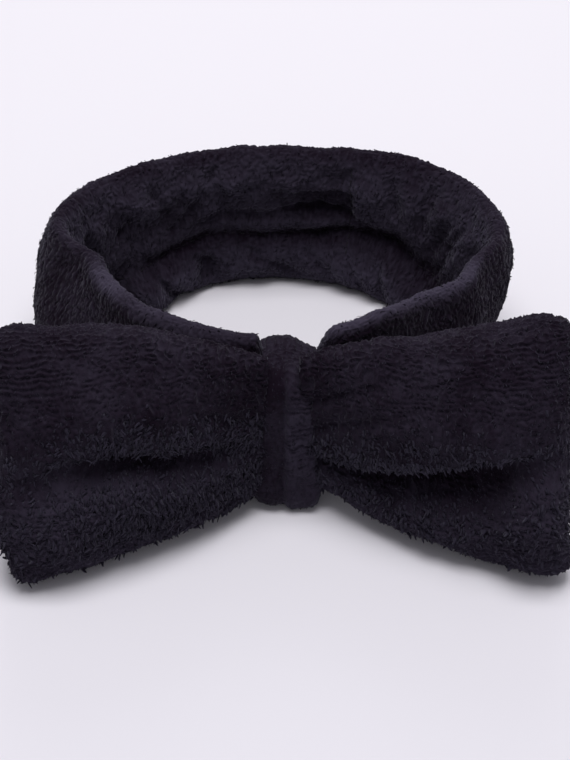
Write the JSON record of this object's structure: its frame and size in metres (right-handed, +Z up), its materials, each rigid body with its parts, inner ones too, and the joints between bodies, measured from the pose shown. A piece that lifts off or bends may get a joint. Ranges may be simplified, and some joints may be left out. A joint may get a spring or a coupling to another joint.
{
  "type": "spa headband",
  "caption": "Stretchy fleece loop that holds hair back, with a soft filled bow held at its front by a centre wrap.",
  "frame": {"origin": "bottom centre of the whole headband as it stands on its lower edge", "axes": "+X along the bow to the viewer's right, +Y from the bow to the back of the loop, +Z up"},
  "size_m": [0.207, 0.1955, 0.0926],
  "materials": {
    "fleece": "deep napped coral fleece",
    "thread": "matte twisted thread",
    "elastic": "ribbed woven elastic",
    "wadding": "loose soft fibre"
  },
  "bodies": {
    "front": {"sleeve_front": "fleece", "sleeve_seam_front": "thread", "elastic_strip": "elastic", "elastic_tack_left": "thread", "elastic_tack_right": "thread", "knot_wrap": "fleece", "knot_back_seam": "thread", "bow_waist": "fleece", "gather_thread": "thread", "bow_tacks": "thread"},
    "back": {"sleeve_back": "fleece", "sleeve_seam_back": "thread", "back_closing_seam": "thread"},
    "loop_left": {"bow_left": "fleece", "bow_left_wadding": "wadding", "bow_left_seam": "thread"},
    "loop_right": {"bow_right": "fleece", "bow_right_wadding": "wadding", "bow_right_seam": "thread"}
  },
  "joints": [
    {"name": "back_stretch", "type": "slide", "parent": "front", "child": "back", "axis": [0, 1, 0], "range_m": [0, 0.03], "stiffness_N_per_m": 100, "deforming": ["elastic_strip"]},
    {"name": "bow_left_flex", "type": "hinge", "parent": "front", "child": "loop_left", "pos_m": [-0.0151, -0.04375, 0.036], "axis": [0, 0.0928, 0.9957], "range_deg": [-4, 25], "stiffness_Nm_per_rad": 0.05},
    {"name": "bow_right_flex", "type": "hinge", "parent": "front", "child": "loop_right", "pos_m": [0.0181, -0.04375, 0.036], "axis": [0, -0.0928, -0.9957], "range_deg": [-4, 25], "stiffness_Nm_per_rad": 0.05}
  ]
}
